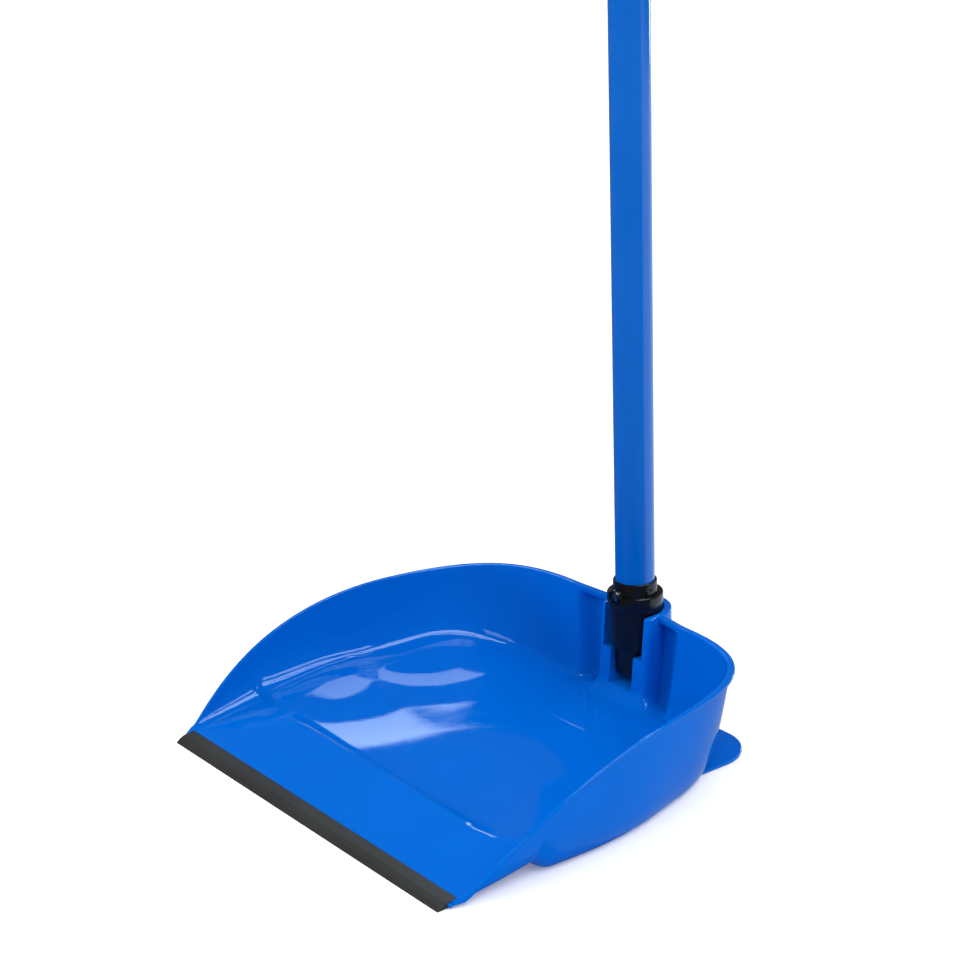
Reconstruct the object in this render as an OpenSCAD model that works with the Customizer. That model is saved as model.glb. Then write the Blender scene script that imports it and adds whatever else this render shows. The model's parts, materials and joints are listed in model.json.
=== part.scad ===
// Lobby dustpan: a moulded pan with a rubber lip, and an upright tube handle that
// clicks into a pocket at the back of the pan and folds forward over it.
// Millimetres. The floor is z = 0, the mouth faces -Y, and the origin lies under the
// middle of the pan's length. In the modules y is measured from the handle axis.

/* [Pan] */
// Width across the side rims at their widest
pan_w = 266; // [256:1:290]
// Width across the rims where the rear corners begin
rear_w = 248; // [238:1:256]
// Distance from the lip's front edge to the handle axis
reach = 229; // [220:1:250]
// Distance from the back rim's edge to the handle axis
back_set = 3; // [2:0.1:6]
// Height of the level rim along the back
rim_h = 56.5; // [52:0.5:64]
// Thickness of the moulding
wall = 2; // [1.6:0.1:2.4]
// Width of the turned-out rim along the back
flange_w = 4; // [3:0.1:6]
// Distance of the widest place from the handle axis
widest_at = 157; // [150:1:165]
// Distance of the rear corners' start from the handle axis
corner_at = 70; // [64:1:78]
// Length of the straight stretch of the back rim
back_len = 90; // [80:1:110]

/* [Pan floor] */
// Height of the crest between the ramp and the tray
crest_h = 9; // [7:0.5:12]
// Length of the ramp from the lip to the crest
ramp_len = 43.5; // [38:0.5:50]
// Run of the drop from the crest to the tray
crest_drop = 12; // [10:1:20]
// Run of a side wall from its rim to the flat floor
side_run = 14; // [11:0.5:20]
// Run of a rear corner's wall from its rim to the flat floor
corner_run = 18; // [14:0.5:26]
// Run of the back wall from its rim to the flat floor
back_run = 9; // [7:0.5:14]
// Run of the blend beside the crest
crest_run = 16; // [12:0.5:24]

/* [Foot plate] */
// Width of the plate that a foot holds down
foot_w = 197; // [180:1:205]
// Top of the foot plate above the floor
foot_th = 3.2; // [2.8:0.1:4]
// Distance of the plate's front edge ahead of the handle axis
foot_front = 56; // [50:1:60]
// Distance of the plate's rear edge behind the handle axis
foot_back = 0.5; // [0:0.5:8]
// Radius of the plate's rear corners
foot_r = 23; // [15:1:30]

/* [Rubber lip] */
// Length of the rubber lip
lip_len = 240; // [230:1:246]
// Width of the lip from its front edge to the ramp
lip_w = 11.5; // [10:0.5:14]
// Height of the lip where it meets the ramp
lip_h = 4; // [3.6:0.1:4.6]
// Thickness of the pan's edge that sits in the lip's groove
tongue_th = 1.2; // [1:0.1:1.4]
// How deep the pan's edge sits in the lip's groove
groove_depth = 5.5; // [4.5:0.1:6.5]

/* [Handle pocket] */
// Inside radius of the pocket
pocket_r = 16.2; // [16:0.1:18]
// Thickness of the pocket's wall
pocket_wall = 4; // [3:0.1:5]
// Height of the pocket's rear wall
pocket_h = 54.5; // [54:0.5:58]
// Height of the pocket's cheeks at their front
cheek_h = 53.5; // [50:0.5:54]
// How far the feet of the cheeks stand ahead of the handle axis
cheek_front = 13; // [12:0.1:14]
// How much the front of the cheeks leans back over their height
cheek_lean = 5; // [3:0.1:6]
// Radius of the fillet along the front foot of the cheeks
cheek_fillet = 7; // [4:0.5:9]
// How far the back wall swells out around the pocket
swell = 6.2; // [5:0.1:8]
// Half width of the swelling of the back wall
swell_hw = 43; // [40:0.5:45]
// How far the rim dips where the back swells
swell_dip = 2.4; // [2.2:0.1:5]
// Height of the ledges where the pocket narrows to the slot
ledge_h = 28.5; // [27:0.5:31]

/* [Hinge] */
// Height of the hinge axis
hinge_h = 17; // [16:0.25:18]
// Diameter of the hinge pin
pin_d = 6; // [4:0.5:7]
// How far each end of the pin runs in the cheeks
pin_hold = 7; // [4:0.5:10]
// Running clearance around the pin, on the radius
pin_gap = 0.05; // [0.02:0.01:0.1]

/* [Connector] */
// Outside diameter of the collar
collar_d = 31.4; // [30.6:0.1:31.6]
// Outside diameter of the body below the collar
body_d = 30.2; // [29:0.1:30.4]
// Height of the collar's top edge
collar_top = 63.9; // [62:0.1:68]
// Depth of the collar
collar_len = 9; // [6:0.5:12]
// Width of the tongue in the slot
tongue_w = 17.8; // [15:0.1:20]
// Radius of the tongue's rounded end
tongue_r = 8; // [7:0.25:9]
// Gap between the connector's moving faces and the pan
swing_gap = 0.5; // [0.3:0.05:0.8]

/* [Ferrule and screw] */
// Thickness of the ferrule around the tube
ferrule_wall = 1.3; // [1:0.1:1.6]
// Height of the ferrule's top edge
ferrule_top = 71; // [70:0.5:78]
// Outside diameter of the screw boss
screw_boss_d = 8.4; // [7.6:0.1:9.4]
// Height of the screw
screw_h = 63.5; // [62:0.1:66]
// Diameter of the screw's head
head_d = 5.4; // [4.8:0.1:6]
// Diameter of the screw's shank
shank_d = 2.9; // [2:0.1:3.5]

/* [Handle] */
// Outside diameter of the tube
tube_d = 22; // [20:0.5:24]
// Wall of the tube
tube_wall = 0.8; // [0.5:0.1:1.5]
// Height of the tube's foot
tube_foot = 44; // [42:0.5:46]
// Height of the tube's top end
tube_top = 815; // [600:5:1200]
// Length of the end cap's sleeve
cap_sleeve = 26; // [18:1:40]
// Height of the end cap above the tube
cap_rise = 35; // [30:1:45]
// Diameter of the hole to hang it by
hang_d = 8; // [6:0.5:10]

/* [Hidden] */
$fn = 64;
pan_blue = "#0b5fd0";
lip_black = "#3a3a38";
fitting_black = "#141518";
steel = "#b9bcc0";

// Gap between pieces that are fixed to each other
fit_gap = 0.03;
// Overlap that keeps cuts and unions clear of shared faces
eps = 0.5;

pocket_out = pocket_r + pocket_wall;
axis_y = (reach - pocket_out) / 2;
mouth_hw = lip_len / 2 + fit_gap + wall;
rim_front = reach - lip_w + groove_depth;
crest_at = reach - lip_w - ramp_len;
tray_at = crest_at - crest_drop;

function blend(a, b, t) = a + (b - a) * t;
function clamp01(t) = max(0, min(1, t));
function ease(t) = let (u = clamp01(t)) u * u * (3 - 2 * u);
function bezier(a, b, c, d, t) =
    a * pow(1 - t, 3) + 3 * b * t * pow(1 - t, 2) + 3 * c * t * t * (1 - t) + d * pow(t, 3);
function unit(v) = v / norm(v);

// Plan of the rim's right half, from the mouth to the middle of the back
function side_x(y) =
    let (front = y < -widest_at,
         end_x = front ? mouth_hw : rear_w / 2,
         end_y = front ? -rim_front : -corner_at)
    pan_w / 2 - (pan_w / 2 - end_x) * pow((y + widest_at) / (end_y + widest_at), 2);
function side_slope(y) =
    let (front = y < -widest_at,
         end_x = front ? mouth_hw : rear_w / 2,
         end_y = front ? -rim_front : -corner_at)
    -2 * (pan_w / 2 - end_x) * (y + widest_at) / pow(end_y + widest_at, 2);
corner_a = [rear_w / 2, -corner_at];
corner_d = [back_len / 2, -back_set];
corner_b = corner_a + 0.75 * (corner_at - back_set) * unit([side_slope(-corner_at), 1]);
corner_c = corner_d + 0.6 * [rear_w / 2 - back_len / 2, 0];
function corner_point(t) = bezier(corner_a, corner_b, corner_c, corner_d, t);

// Height of the rim: level along the back, falling to the lip in a long curve. Where
// the back swells it dips below the pocket's top.
rim_power = 2.5;
rim_over = 0.3;
function rim_z(y) =
    let (u = clamp01((-corner_at + 4 - y) / (rim_front + 1 - corner_at)))
    max(floor_z(y) + rim_over, rim_h * (1 - pow(u, rim_power)))
        - swell_dip * ease((y + back_set) / swell);

// Height of the floor's upper face along the pan: ramp, crest, step and tray
ramp_slope = (crest_h - lip_h) / ramp_len;
function floor_z(y) =
    y < -crest_at
        ? crest_h + ramp_slope * (y + crest_at)
        : wall + (crest_h - wall) * (1 - ease((y + crest_at) / (crest_at - tray_at)));

// Rows of the shell from the mouth to the middle of the back. A row is
// [rim point, outward direction, run, lean, squareness]: the run and lean of the wall,
// and how square its section is, where 2 is a quarter of an ellipse.
mouth_wall = [3, 0.4, 3];
crest_wall = [crest_run, 2, 3];
side_wall = [side_run, 2, 3.6];
corner_wall = [corner_run, 9, 3.4];
back_wall = [back_run, 3.5, 2.8];
ramp_rows = 8;
step_rows = 6;
tray_rows = 8;
corner_rows = 14;
back_rows = 9;
corner_mid = 0.45;
corner_early = 0.5;
turn_from = corner_at + 45;
function side_shape(y) =
    y < -crest_at
        ? blend(mouth_wall, crest_wall, (y + rim_front) / (rim_front - crest_at))
        : y < -turn_from
            ? blend(crest_wall, side_wall, ease((y + crest_at) / (crest_at - turn_from - 12)))
            : blend(side_wall, corner_wall, corner_early * ease((y + turn_from) / (turn_from - corner_at)));
function corner_shape(t) =
    t < corner_mid
        ? blend(side_wall, corner_wall, blend(corner_early, 1, ease(t / corner_mid)))
        : blend(corner_wall, back_wall, ease((t - corner_mid) / (1 - corner_mid)));
side_ys = concat(
    [for (i = [0 : ramp_rows - 1]) blend(-rim_front, -crest_at, i / ramp_rows)],
    [for (i = [0 : step_rows - 1]) blend(-crest_at, -tray_at, i / step_rows)],
    [for (i = [0 : tray_rows - 1]) blend(-tray_at, -corner_at, i / tray_rows)]);
side_list = [for (y = side_ys)
    let (turn = ease((y + turn_from) / (turn_from - corner_at)))
    concat([[side_x(y), y], unit([1, -turn * side_slope(y)])], side_shape(y))];
corner_list = [for (i = [0 : corner_rows - 1])
    let (t = i / corner_rows, along = unit(corner_point(t + 0.001) - corner_point(t)))
    concat([corner_point(t), [along[1], -along[0]]], corner_shape(t))];
swell_turn = 9;
swell_full = pocket_out + 4;
function back_y(x) = -back_set + swell * ease((swell_hw - x) / swell_turn);
back_xs = concat(
    [for (i = [0 : back_rows - 1]) blend(back_len / 2, swell_full, i / back_rows)],
    [swell_full, swell_full / 2, 0]);
back_list = [for (x = back_xs) concat([[x, back_y(x)], [0, 1]], back_wall)];
rows = concat(side_list, corner_list, back_list);

// Section of the wall in a row, from the rim's inner edge to the flat floor, as
// [distance in from the rim's outer edge, height]
wall_cells = 10;
function row_flange(row) = blend(wall + 0.2, flange_w, ease((row[0][1] + 95) / 60));
function row_base(row) = row[0] - (row_flange(row) + row[2]) * row[1];
function wall_section(row) =
    let (top = rim_z(row[0][1]), low = floor_z(row_base(row)[1]))
    [for (i = [0 : wall_cells])
        let (across = 1 - pow(cos(90 * i / wall_cells), 2 / row[4]),
             down = pow(sin(90 * i / wall_cells), 2 / row[4]))
        [row_flange(row) + row[3] * down + (row[2] - row[3]) * across, blend(top, low, down)]];
function outside(section) =
    let (end = len(section) - 1)
    [for (i = [0 : end])
        let (along = i == end ? [1, 0] : unit(section[i + 1] - section[max(i - 1, 0)]))
        section[i] + wall * (i == 0 ? [-1, -1] : [along[1], -along[0]])];
function placed(row, at) = [row[0][0] - at[0] * row[1][0], row[0][1] - at[0] * row[1][1], at[1]];

// Floor of a row from the wall's foot to the middle line, straight in plan. Towards
// the back the rows fan out, so that they never lie on each other.
floor_cells = 3;
fan = 0.22;
function row_middle(row) =
    let (base = row_base(row))
    base[1] - fan * base[0] * ease((base[1] + tray_at - 16) / 100);
function floor_points(row, drop) =
    let (base = row_base(row), middle = [0, row_middle(row)])
    [for (i = [1 : floor_cells])
        let (p = blend(base, middle, i / floor_cells))
        [p[0], p[1], floor_z(p[1]) - drop]];
function wall_points(row, lower) = concat(
    [placed(row, [0, rim_z(row[0][1]) - (lower ? wall : 0)])],
    [for (p = lower ? outside(wall_section(row)) : wall_section(row)) placed(row, p)]);
function half_row(row, lower) = concat(wall_points(row, lower), floor_points(row, lower ? wall : 0));
function mirrored(points) =
    [for (i = [len(points) - 2 : -1 : 0]) [-points[i][0], points[i][1], points[i][2]]];

// The shell is one closed skin. Its last row folds on the middle line, so the two
// halves share their points there and the floor ends in one point.
half_cols = wall_cells + 1 + floor_cells;
cols = 2 * half_cols;
last = len(rows) - 1;
skin_size = last * (cols + 1) + wall_cells + 2;
function skin(lower) = concat(
    [for (i = [0 : last - 1])
        let (half = half_row(rows[i], lower))
        each concat(half, mirrored(half))],
    wall_points(rows[last], lower));
function at(i, j, lower) =
    (lower ? skin_size : 0) + i * (cols + 1) + (i < last ? j : min(j, cols - j, wall_cells + 1));
function quad(a, b, c, d) = [for (f = [[a, b, c], [a, c, d]]) if (f[0] != f[1] && f[1] != f[2] && f[2] != f[0]) f];
shell_faces = concat(
    [for (i = [0 : last - 1], j = [0 : cols - 1])
        each quad(at(i, j, false), at(i, j + 1, false), at(i + 1, j + 1, false), at(i + 1, j, false))],
    [for (i = [0 : last - 1], j = [0 : cols - 1])
        each quad(at(i, j, true), at(i + 1, j, true), at(i + 1, j + 1, true), at(i, j + 1, true))],
    [for (i = [0 : last - 1])
        each quad(at(i, 0, false), at(i + 1, 0, false), at(i + 1, 0, true), at(i, 0, true))],
    [for (i = [0 : last - 1])
        each quad(at(i, cols, false), at(i, cols, true), at(i + 1, cols, true), at(i + 1, cols, false))],
    [for (j = [0 : cols - 1])
        each quad(at(0, j, false), at(0, j, true), at(0, j + 1, true), at(0, j + 1, false))]);

module shell() {
    polyhedron(concat(skin(false), skin(true)), shell_faces, convexity = 8);
}

// Moves a piece from the handle axis into the part's frame
module place() {
    translate([0, axis_y, 0])
        children();
}

// Extrudes a drawing in the Y-Z plane along X, centred on the middle line
module along_x(length) {
    translate([-length / 2, 0, 0])
        rotate([90, 0, 90])
            linear_extrude(length)
                children();
}

// Foot plate: a flat tab under the back, with round rear corners
foot_lift = 0.3;
module foot_plate() {
    straight = foot_front + foot_back - foot_r;
    translate([0, 0, foot_lift])
        linear_extrude(foot_th - foot_lift) {
            translate([-foot_w / 2, -foot_front])
                square([foot_w, straight]);
            translate([-foot_w / 2 + foot_r, -foot_front])
                square([foot_w - 2 * foot_r, straight + foot_r]);
            for (side = [-1, 1])
                translate([side * (foot_w / 2 - foot_r), foot_back - foot_r])
                    circle(foot_r);
        }
}

// Pocket block: two cheeks that stand on the floor, and a round back behind them. The
// cheeks lean back at the front, where a fillet runs along their feet.
module pocket_block() {
    low = foot_lift + eps;
    intersection() {
        union() {
            translate([0, 0, low])
                cylinder(r = pocket_out, h = pocket_h - low);
            translate([-pocket_out, -cheek_front - eps, low])
                cube([2 * pocket_out, cheek_front + eps, pocket_h - low]);
        }
        along_x(4 * pocket_out)
            polygon([
                [-cheek_front, 0],
                [pocket_out + eps, 0],
                [pocket_out + eps, pocket_h + eps],
                [0, pocket_h + eps],
                [0, pocket_h],
                [-cheek_front + cheek_lean, cheek_h]]);
    }
    along_x(2 * pocket_out - 2 * eps)
        translate([-cheek_front, foot_th - eps])
            difference() {
                translate([-cheek_fillet, 0])
                    square([cheek_fillet + eps, cheek_fillet + eps]);
                translate([-cheek_fillet, cheek_fillet + eps])
                    circle(cheek_fillet);
            }
}

// Room for the connector: a round-backed channel that is open to the front, and below
// its ledges a narrow slot for the tongue
slot_hw = tongue_w / 2 + swing_gap;
slot_floor = hinge_h - tongue_r - swing_gap;
slot_back = tongue_r + swing_gap;
front_reach = cheek_front + cheek_fillet + eps;
module pocket_room() {
    translate([0, 0, ledge_h])
        cylinder(r = pocket_r, h = pocket_h);
    translate([-pocket_r, -front_reach, ledge_h])
        cube([2 * pocket_r, front_reach, pocket_h]);
    translate([-slot_hw, -front_reach, slot_floor])
        cube([2 * slot_hw, front_reach + slot_back, pocket_h]);
}

pin_r = pin_d / 2;
module pin_sockets() {
    socket = 2 * (slot_hw + pin_hold + swing_gap);
    translate([-socket / 2, 0, hinge_h])
        rotate([0, 90, 0])
            cylinder(r = pin_r + pin_gap, h = socket);
}

// Section of the lip and of the pan's edge inside its groove. The groove follows the
// slope of the ramp.
lip_back = -reach + lip_w;
tongue_mid = lip_h - wall / 2;
module lip_outline() {
    polygon([
        [-reach, 0],
        [lip_back, 0],
        [lip_back, lip_h],
        [lip_back - 0.55 * lip_w, 0.8 * lip_h],
        [lip_back - 0.8 * lip_w, 0.48 * lip_h]]);
}
module tongue_outline(grow, ahead) {
    half = tongue_th / 2 + grow;
    front = groove_depth + ahead;
    polygon([
        [lip_back - front, tongue_mid - ramp_slope * front - half],
        [lip_back + eps, tongue_mid + ramp_slope * eps - half],
        [lip_back + eps, tongue_mid + ramp_slope * eps + half],
        [lip_back - front, tongue_mid - ramp_slope * front + half]]);
}

// Clears the pan's front edge down to the tongue that the lip grips
module lip_seat() {
    along_x(lip_len + 2 * fit_gap)
        difference() {
            translate([-reach - eps, -eps])
                square([lip_w + eps + fit_gap, lip_h + 2 * eps]);
            tongue_outline(0, 2 * eps);
        }
}

// Slopes the tips of the side walls down beside the lip's ends
tip_h = 1;
module tip_slopes() {
    tip_w = pan_w - lip_len;
    for (side = [-1, 1])
        translate([side * (lip_len + tip_w) / 2 - side * eps, 0, 0])
            along_x(tip_w)
                polygon([
                    [-rim_front - eps, tip_h],
                    [lip_back + eps, lip_h + eps],
                    [lip_back + eps, 2 * lip_h],
                    [-rim_front - eps, 2 * lip_h]]);
}

module pan() {
    color(pan_blue)
        place()
            difference() {
                union() {
                    shell();
                    foot_plate();
                    pocket_block();
                }
                pocket_room();
                pin_sockets();
                lip_seat();
                tip_slopes();
            }
}

module rubber_lip() {
    color(lip_black)
        place()
            along_x(lip_len)
                difference() {
                    lip_outline();
                    tongue_outline(fit_gap, fit_gap);
                }
}

// Connector: a collar and round body over a tongue that turns on the hinge pin. The
// body starts above the ledges, clear of their front corners as it swings.
ferrule_r = tube_d / 2 + ferrule_wall;
ledge_front = cheek_front - cheek_lean * ledge_h / cheek_h;
body_foot = hinge_h + norm([ledge_front, ledge_h - hinge_h]) + swing_gap;
ferrule_foot = tube_foot - ferrule_wall;
notch_hw = screw_boss_d / 2 + fit_gap;
module connector() {
    color(fitting_black)
        place()
            difference() {
                union() {
                    translate([0, 0, body_foot])
                        cylinder(d = body_d, h = collar_top - body_foot - eps);
                    translate([0, 0, collar_top - collar_len])
                        cylinder(d = collar_d, h = collar_len);
                    translate([-tongue_w / 2, -tongue_r, hinge_h])
                        cube([tongue_w, 2 * tongue_r, body_foot - hinge_h + eps]);
                    translate([-tongue_w / 2, 0, hinge_h])
                        rotate([0, 90, 0])
                            cylinder(r = tongue_r, h = tongue_w);
                }
                translate([0, 0, ferrule_foot - fit_gap])
                    cylinder(r = ferrule_r + fit_gap, h = collar_top);
                translate([-tongue_w, 0, hinge_h])
                    rotate([0, 90, 0])
                        cylinder(r = pin_r + fit_gap / 3, h = 2 * tongue_w);
                translate([0, 0, screw_h])
                    rotate([90, 0, 0])
                        cylinder(r = notch_hw, h = collar_d);
                translate([-notch_hw, -collar_d, screw_h])
                    cube([2 * notch_hw, collar_d, collar_top]);
            }
}

// Ferrule: the sleeve around the tube's foot, with a boss for the fixing screw
screw_boss_front = collar_d / 2 + 0.6;
head_depth = 1.8;
module ferrule() {
    color(fitting_black)
        place()
            difference() {
                union() {
                    translate([0, 0, ferrule_foot])
                        cylinder(r = ferrule_r, h = ferrule_top - ferrule_foot);
                    translate([0, 0, screw_h])
                        rotate([90, 0, 0])
                            cylinder(d = screw_boss_d, h = screw_boss_front);
                }
                translate([0, 0, tube_foot])
                    cylinder(r = tube_d / 2 + fit_gap, h = ferrule_top);
                translate([0, 0, screw_h])
                    rotate([90, 0, 0])
                        cylinder(r = shank_d / 2 + fit_gap, h = collar_d);
                translate([0, -screw_boss_front + head_depth, screw_h])
                    rotate([90, 0, 0])
                        cylinder(r = head_d / 2 + 0.4, h = collar_d);
            }
}

// Fixing screw: a domed head with a cross slot on a straight shank
slot_w = 0.8;
head_h = 1.5;
shank_end = tube_d / 2 - tube_wall - 3;
module fixing_screw() {
    head_y = -screw_boss_front + head_depth;
    color(steel)
        place()
            translate([0, 0, screw_h])
                rotate([90, 0, 0])
                    difference() {
                        union() {
                            translate([0, 0, shank_end])
                                cylinder(d = shank_d, h = -head_y - shank_end + head_h / 2);
                            translate([0, 0, -head_y])
                                rotate_extrude()
                                    intersection() {
                                        square([head_d / 2, head_h]);
                                        translate([0, head_h - head_d])
                                            circle(head_d);
                                    }
                        }
                        for (turn = [0, 90])
                            rotate([0, 0, turn])
                                translate([-slot_w / 2, -head_d / 3, -head_y + head_h / 2])
                                    cube([slot_w, head_d / 1.5, head_h]);
                    }
}

module hinge_pin() {
    length = 2 * (slot_hw + pin_hold);
    color(steel)
        place()
            translate([-length / 2, 0, hinge_h])
                rotate([0, 90, 0])
                    cylinder(r = pin_r, h = length);
}

// Handle tube, with a hole for the fixing screw at the front
module handle_tube() {
    color(pan_blue)
        place()
            difference() {
                translate([0, 0, tube_foot + fit_gap])
                    cylinder(d = tube_d, h = tube_top - tube_foot - fit_gap);
                translate([0, 0, tube_foot - eps])
                    cylinder(r = tube_d / 2 - tube_wall, h = tube_top);
                translate([0, 0, screw_h])
                    rotate([90, 0, 0])
                        cylinder(r = shank_d / 2 + fit_gap, h = tube_d);
            }
}

// End cap: a sleeve over the tube's top that narrows to a round-topped tab with a hole
cap_wall = 1.6;
cap_r = tube_d / 2 + cap_wall;
tab_t = 9;
tab_r = hang_d / 2 + 4.5;
hang_h = tube_top + cap_rise - tab_r;
shoulder_h = 9;
module end_cap() {
    color(fitting_black)
        place()
            difference() {
                union() {
                    translate([0, 0, tube_top - cap_sleeve])
                        cylinder(r = cap_r, h = cap_sleeve + cap_wall);
                    translate([0, 0, tube_top + cap_wall])
                        cylinder(r1 = cap_r, r2 = tab_t / 2 + 1, h = shoulder_h);
                    translate([-tab_r, -tab_t / 2, tube_top])
                        cube([2 * tab_r, tab_t, hang_h - tube_top]);
                    translate([0, tab_t / 2, hang_h])
                        rotate([90, 0, 0])
                            cylinder(r = tab_r, h = tab_t);
                }
                translate([0, 0, tube_top - cap_sleeve - eps])
                    cylinder(r = tube_d / 2 + fit_gap, h = cap_sleeve + eps + fit_gap);
                translate([0, tab_t, hang_h])
                    rotate([90, 0, 0])
                        cylinder(d = hang_d, h = 2 * tab_t);
            }
}

pan();
rubber_lip();
connector();
ferrule();
fixing_screw();
hinge_pin();
handle_tube();
end_cap();
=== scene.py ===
import json
import math

import bpy
from bpy.props import FloatProperty, FloatVectorProperty, PointerProperty
from bpy.types import Operator, Panel, PropertyGroup
from mathutils import Matrix, Vector

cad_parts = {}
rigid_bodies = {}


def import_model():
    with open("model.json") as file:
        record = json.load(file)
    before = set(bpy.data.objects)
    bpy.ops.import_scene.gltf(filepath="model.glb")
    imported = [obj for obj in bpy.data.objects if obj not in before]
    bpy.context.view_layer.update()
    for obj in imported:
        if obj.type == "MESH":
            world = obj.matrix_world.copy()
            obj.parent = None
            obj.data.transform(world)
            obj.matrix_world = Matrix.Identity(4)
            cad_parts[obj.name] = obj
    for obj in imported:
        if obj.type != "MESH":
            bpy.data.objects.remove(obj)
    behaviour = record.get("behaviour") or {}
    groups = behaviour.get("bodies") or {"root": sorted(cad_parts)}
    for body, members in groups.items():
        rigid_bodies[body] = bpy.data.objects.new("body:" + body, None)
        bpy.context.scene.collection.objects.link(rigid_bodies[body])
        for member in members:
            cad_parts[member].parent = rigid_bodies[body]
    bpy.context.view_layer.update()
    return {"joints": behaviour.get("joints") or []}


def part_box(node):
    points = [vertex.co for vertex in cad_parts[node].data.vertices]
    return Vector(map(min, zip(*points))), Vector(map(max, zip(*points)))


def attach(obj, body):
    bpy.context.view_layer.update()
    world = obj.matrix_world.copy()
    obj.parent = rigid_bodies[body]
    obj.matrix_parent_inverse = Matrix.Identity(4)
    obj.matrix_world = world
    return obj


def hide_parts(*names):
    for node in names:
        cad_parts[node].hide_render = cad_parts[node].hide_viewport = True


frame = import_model()

bl_info = {
    "name": "Lobby Dustpan",
    "version": (1, 0, 0),
    "blender": (4, 5, 0),
    "location": "View3D > Sidebar > Dustpan",
    "description": "Models a moulded lobby dustpan with its folding tube handle",
    "category": "Object",
}

MM = 0.001
HINGE = frame["joints"][0]["pos_m"]
AXIS_Y = HINGE[1]
PAN_BODY = frame["joints"][0]["parent"]
HANDLE_BODY = frame["joints"][0]["child"]

# Heights and gaps that several pieces share, in millimetres
HINGE_Z = HINGE[2] / MM
SCREW_Z = 63.5
COLLAR_TOP = 63.9
FIT_GAP = 0.02

# Distance in metres at which points merge, and sides of the slits that are closed
MERGE = 1e-6
SLIT_SIDES = 4


def node_top(name):
    """Height of a CAD node's highest point, in metres."""
    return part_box(name)[1].z


def length(name, about, value):
    return FloatProperty(name=name, description=about, default=value, subtype="DISTANCE", unit="LENGTH")


def tint(name, about, value):
    return FloatVectorProperty(
        name=name, description=about, default=value, size=3, min=0.0, max=1.0, subtype="COLOR"
    )


# Settings


class DustpanSizes(PropertyGroup):
    """Sizes of the dustpan's pieces"""

    pan_width: length("Pan width", "Width across the side rims at their widest", 2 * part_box("pan")[1].x)
    rear_width: length("Rear width", "Width across the rims where the rear corners begin", 0.248)
    reach: length("Reach", "Distance from the lip's front edge to the handle axis", 0.229)
    rim_height: length("Rim height", "Height of the level rim along the back", 0.0565)
    wall: length("Wall", "Thickness of the moulding", 0.002)
    rim_band: length("Rim band", "Width of the turned-out rim along the back", 0.004)
    crest_height: length("Crest height", "Height of the crest behind the ramp", 0.009)
    lip_length: length("Lip length", "Length of the rubber lip", 0.24)
    lip_width: length("Lip width", "Width of the lip from its front edge to the ramp", 0.0115)
    lip_height: length("Lip height", "Height of the lip where it meets the ramp", 0.004)
    pocket_radius: length("Pocket radius", "Inside radius of the handle pocket", 0.0162)
    pocket_wall: length("Pocket wall", "Thickness of the pocket's wall", 0.004)
    collar_diameter: length("Collar diameter", "Outside diameter of the connector's collar", 0.0314)
    body_diameter: length("Body diameter", "Outside diameter of the connector below the collar", 0.0302)
    tube_diameter: length("Tube diameter", "Outside diameter of the handle tube", 0.022)
    tube_top: length("Tube top", "Height of the tube's top end", node_top("handle_tube"))
    cap_top: length("Cap top", "Height of the end cap's top", node_top("end_cap"))
    hanging_hole: length("Hanging hole", "Diameter of the hole in the end cap", 0.008)


class DustpanColours(PropertyGroup):
    """Colours of the dustpan's finishes"""

    pan: tint("Pan", "Moulded plastic of the pan", (0.0, 0.110, 0.53))
    tube: tint("Tube", "Coating of the handle tube", (0.0, 0.094, 0.43))
    rubber: tint("Rubber", "Rubber of the lip", (0.024, 0.024, 0.023))
    fitting: tint("Fitting", "Plastic of the connector, ferrule and end cap", (0.004, 0.004, 0.005))
    steel: tint("Steel", "Metal of the screw and the pin", (0.24, 0.24, 0.25))
    floor: tint("Floor", "Studio floor", (0.92, 0.92, 0.92))


# Modelling helpers


def deselect():
    """Goes back to object mode with nothing selected."""
    if bpy.context.object and bpy.context.object.mode != "OBJECT":
        bpy.ops.object.mode_set(mode="OBJECT")
    bpy.ops.object.select_all(action="DESELECT")


def pick(piece):
    """Makes a piece the only one selected."""
    deselect()
    piece.select_set(True)
    bpy.context.view_layer.objects.active = piece


def named(name):
    """Names the piece that was just added."""
    piece = bpy.context.object
    piece.name = name
    piece.data.name = name
    return piece


def edit_all(piece):
    """Opens a piece in edit mode with everything selected."""
    pick(piece)
    bpy.ops.object.mode_set(mode="EDIT")
    bpy.ops.mesh.select_all(action="SELECT")


def clean(piece, merge=MERGE):
    """Merges doubles, closes slits and turns the faces outwards."""
    edit_all(piece)
    bpy.ops.mesh.remove_doubles(threshold=merge)
    bpy.ops.mesh.dissolve_degenerate(threshold=merge)
    bpy.ops.mesh.select_all(action="SELECT")
    bpy.ops.mesh.fill_holes(sides=SLIT_SIDES)
    bpy.ops.mesh.select_all(action="SELECT")
    bpy.ops.mesh.normals_make_consistent(inside=False)
    bpy.ops.object.mode_set(mode="OBJECT")


def modify(piece, kind, **values):
    """Adds a modifier with its values and applies it."""
    pick(piece)
    modifier = piece.modifiers.new(kind.title(), kind)
    for key, value in values.items():
        setattr(modifier, key, value)
    bpy.ops.object.modifier_apply(modifier=modifier.name)


def smooth(piece, angle):
    pick(piece)
    bpy.ops.object.shade_smooth_by_angle(angle=math.radians(angle))


def placed(point):
    """A point in millimetres from the handle axis, in the part's frame."""
    return (point[0] * MM, point[1] * MM + AXIS_Y, point[2] * MM)


def lay(piece, points):
    """Lays a primitive's points, in millimetres from the handle axis, in their places."""
    for vertex, point in zip(piece.data.vertices, points):
        vertex.co = placed(point)
    piece.data.update()


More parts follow.
